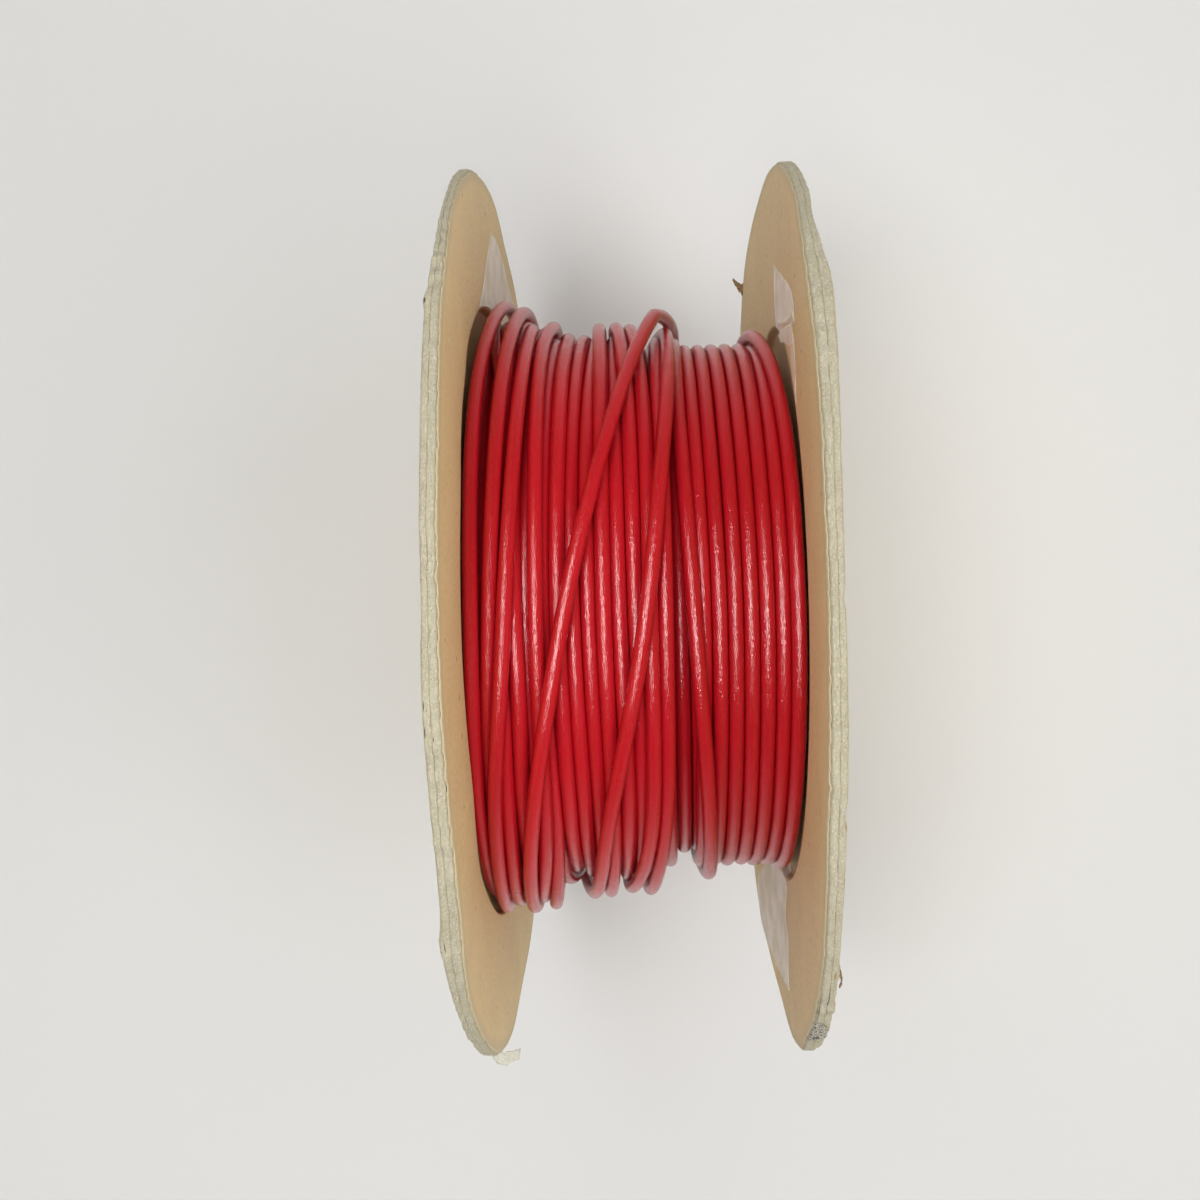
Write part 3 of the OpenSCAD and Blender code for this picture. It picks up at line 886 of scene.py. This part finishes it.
film_scrap(
    "film_left",
    "clear_film_left",
    [
        film_patch(
            LEFT,
            [(45.2, 1.0), (41.0, 5.0), (37.4, 8.4), (33.9, 12.0)],
            [
                (45.2, 1.0), (45.5, -6.0), (44.6, -12.6), (42.8, -17.5),
                (40.5, -20.8), (37.4, -16.0), (36.2, -6.0), (35.9, 4.0),
            ],
            [((43, 0), (35, 2), 0.25)],
            lift=0.05,
            seed=3,
        )
    ],
)
film_scrap(
    "film_right_upper",
    "clear_film_right_upper",
    [
        film_patch(
            RIGHT,
            [(38.2, 9.0), (35.5, 8.3), (32.6, 8.7), (30.6, 9.3), (29.3, 12.8)],
            [(38.2, 9.0), (35.8, 15.7), (32.9, 23.2), (31.1, 27.1), (29.2, 29.7), (27.4, 30.0)],
            [((31.0, 12.0), (29.3, 20.5), 0.25), ((29.3, 20.5), (28.3, 29.5), 0.3)],
            lift=0.05,
            seed=5,
        ),
        film_patch(
            RIGHT,
            [(30.2, 9.6), (28.8, 12.8), (27.9, 17.0), (27.2, 20.8), (26.0, 25.6)],
            [(29.4, 13.2), (28.8, 21.0), (28.0, 26.0), (27.2, 29.6), (25.6, 29.2)],
            [],
            lift=0.3,
            seed=6,
        ),
        film_patch(
            RIGHT,
            [(26.6, 24.0), (25.6, 24.6), (24.0, 24.9), (21.9, 26.2), (20.0, 27.6)],
            [(26.6, 28.8), (25.2, 28.3), (23.3, 28.0), (21.4, 27.7), (19.9, 27.7)],
            [],
            lift=0.08,
            seed=7,
        ),
    ],
)
film_scrap(
    "film_right_lower",
    "clear_film_right_lower",
    [
        film_patch(
            RIGHT,
            [
                (-33.0, -14.0), (-37.5, -26.0), (-41.5, -26.5), (-43.5, -25.0),
                (-45.0, -20.0), (-46.2, -12.0), (-46.0, -4.0), (-45.0, 4.6),
            ],
            [
                (-31.0, 0.0), (-32.7, 5.2), (-34.5, 3.9), (-36.1, 2.5),
                (-37.4, 3.2), (-38.6, 5.3), (-41.9, 5.1), (-44.8, 5.0),
            ],
            [((-33, -4), (-41, -2), 0.2), ((-36, -14), (-44, -10), 0.25)],
            lift=0.05,
            seed=9,
        )
    ],
)


# ---- Torn bits ----
# Scraps of liner and board that hang from the rims where they were knocked.
def torn_fibres(name, size, height, low, high, first, second):
    """Torn fibres, mottled from one colour to another by a grain. Quite matt."""
    made, tree, shader = new_material(name, 0.9)
    fibre = place_grain(tree, object_mm(tree), size=size, stretch=1.0, detail=3.0, height=height * mm)
    cover(tree, shader, blend_colours(tree, fibre.outputs["Mask"], low, high, first, second), fibre)
    return made


def torn_strip(name, spine, widths, across, material, seed):
    """A curled strip of paper: a ribbon carried along a spine of points, as wide as widths says, with
    uneven edges, and given a thickness. across is the way its width lies."""
    rows, cols = 28, 9
    thick = 0.1
    spine, across = np.array(spine, float), np.array(across, float)
    t = np.linspace(0, 1, rows)
    knots = np.linspace(0, 1, len(spine))
    middle = np.stack([through(t, knots, spine[:, k]) for k in range(3)], 1)
    half = 0.5 * np.interp(t, np.linspace(0, 1, len(widths)), widths)
    across /= np.linalg.norm(across)
    draw = np.random.default_rng(seed)
    uneven = 1 + 0.25 * softened(draw.normal(0, 1, (rows, 2)), 1)
    s = np.linspace(-1, 1, cols)
    reach = np.where(s < 0, uneven[:, :1], uneven[:, 1:]) * half[:, None] * s
    crumple = 0.07 * np.sin(5 * s[None] + 9 * t[:, None] + seed) * half[:, None]
    along = np.gradient(middle, axis=0)
    lift = np.cross(along, across)
    lift /= np.linalg.norm(lift, axis=1, keepdims=True)
    points = middle[:, None] + reach[..., None] * across + crumple[..., None] * lift[:, None]
    faces, _, _ = quads(rows, cols)
    piece = new_piece(name, points.reshape(-1, 3), faces, material)
    solid = piece.modifiers.new("thickness", "SOLIDIFY")
    solid.thickness = thick * mm
    solid.offset = 0
    return piece


# The torn edge of a liner is cream; a dirty sliver of board is nearly black, with brown in it
torn = torn_fibres("torn_liner", 0.3, 0.06, 0.3, 0.7, (0.55, 0.52, 0.41), (0.68, 0.66, 0.57))
dark = torn_fibres("dark_fibre", 0.25, 0.05, 0.35, 0.65, (0.10, 0.075, 0.055), (0.34, 0.19, 0.07))
torn_strip(
    "left_foot_flake",
    [(-18.1, -50.1, 7.5), (-17.2, -51.1, 7.7), (-16.0, -51.5, 7.2), (-14.8, -51.2, 6.6)],
    (1.0, 1.5, 1.6, 1.2),
    (0.15, 1, 0.2),
    torn,
    2,
)
torn_strip(
    "right_far_sliver",
    [(16.3, 43.9, -24.6), (15.9, 43.2, -24.5), (15.2, 43.3, -24.3), (14.2, 44.5, -24.2)],
    (1.6, 1.7, 1.1, 0.3),
    (0.3, 1, 0.2),
    dark,
    4,
)
torn_strip(
    "right_near_tuft",
    [(17.6, -33.6, 37.4), (18.1, -34.2, 37.2), (18.25, -35.0, 36.6), (18.1, -35.6, 36.0)],
    (0.8, 0.9, 0.8, 0.4),
    (0, 0.8, 0.6),
    dark,
    6,
)


# ---- Floor and light ----
# A plain pale table under the standing reel, a lamp overhead that only makes the highlights and one that
# only lights, four broad soft lamps around, and pale surroundings that are dim straight above.
def floor_paint():
    """Plain matt white."""
    made, _, shader = new_material("pale_floor", 0.7)
    shader.inputs["Base Color"].default_value = (0.74, 0.73, 0.71, 1)
    return made


floor_half = 0.7
floor_mesh = bpy.data.meshes.new("floor")
floor_mesh.from_pydata(
    [(x * floor_half, y * floor_half, rim_floor * mm) for x, y in ((-1, -1), (1, -1), (1, 1), (-1, 1))],
    [],
    [(0, 1, 2, 3)],
)
floor_mesh.materials.append(floor_paint())
floor = bpy.data.objects.new("floor", floor_mesh)
bpy.context.collection.objects.link(floor)


def lamp(name, place, wide, deep, power, only_gloss=False):
    """An area lamp at a place, in metres, turned to face the reel. With only_gloss it shows in glossy
    surfaces and lights nothing else; without it, it lights and doesn't show in them."""
    data = bpy.data.lights.new(name, "AREA")
    data.shape = "RECTANGLE"
    data.size = wide
    data.size_y = deep
    data.energy = power
    made = bpy.data.objects.new(name, data)
    made.location = place
    made.visible_glossy = only_gloss
    made.visible_diffuse = not only_gloss
    made.rotation_euler = Vector(place).to_track_quat("Z", "Y").to_euler()
    bpy.context.collection.objects.link(made)


lamp("highlight_lamp", (-0.08, -0.01, 0.36), 0.30, 0.06, 1.9, only_gloss=True)
lamp("overhead_lamp", (-0.05, -0.05, 0.36), 0.19, 0.10, 0.65)
soft_lamp = 0.8
for name, place, power in (
    ("far_lamp", (0.0, 0.6, 0.5), 1.95),
    ("left_lamp", (-0.5, 0.1, 0.5), 1.25),
    ("right_lamp", (0.55, 0.0, 0.5), 2.6),
    ("near_lamp", (0.35, -0.5, 0.5), 2.1),
):
    lamp(name, place, soft_lamp, soft_lamp, power)

world = bpy.data.worlds.new("world")
bpy.context.scene.world = world
world.use_nodes = True
sky = world.node_tree
backdrop = sky.nodes["Background"]
backdrop.inputs["Color"].default_value = (0.98, 0.99, 1.0, 1)
way = put(sky, "ShaderNodeTexCoord")
height = put(sky, "ShaderNodeSeparateXYZ", {0: way.outputs["Generated"]})
dimming = remap(sky, height.outputs["Z"], 0.2, 0.4, 0.3, 0.02)
below = remap(sky, height.outputs["Z"], -0.05, 0.05, 0.4, 0.0)
strength = put(sky, "ShaderNodeMath", {0: dimming, 1: below}, operation="ADD")
sky.links.new(strength.outputs[0], backdrop.inputs["Strength"])
bpy.context.scene.view_settings.view_transform = "Standard"
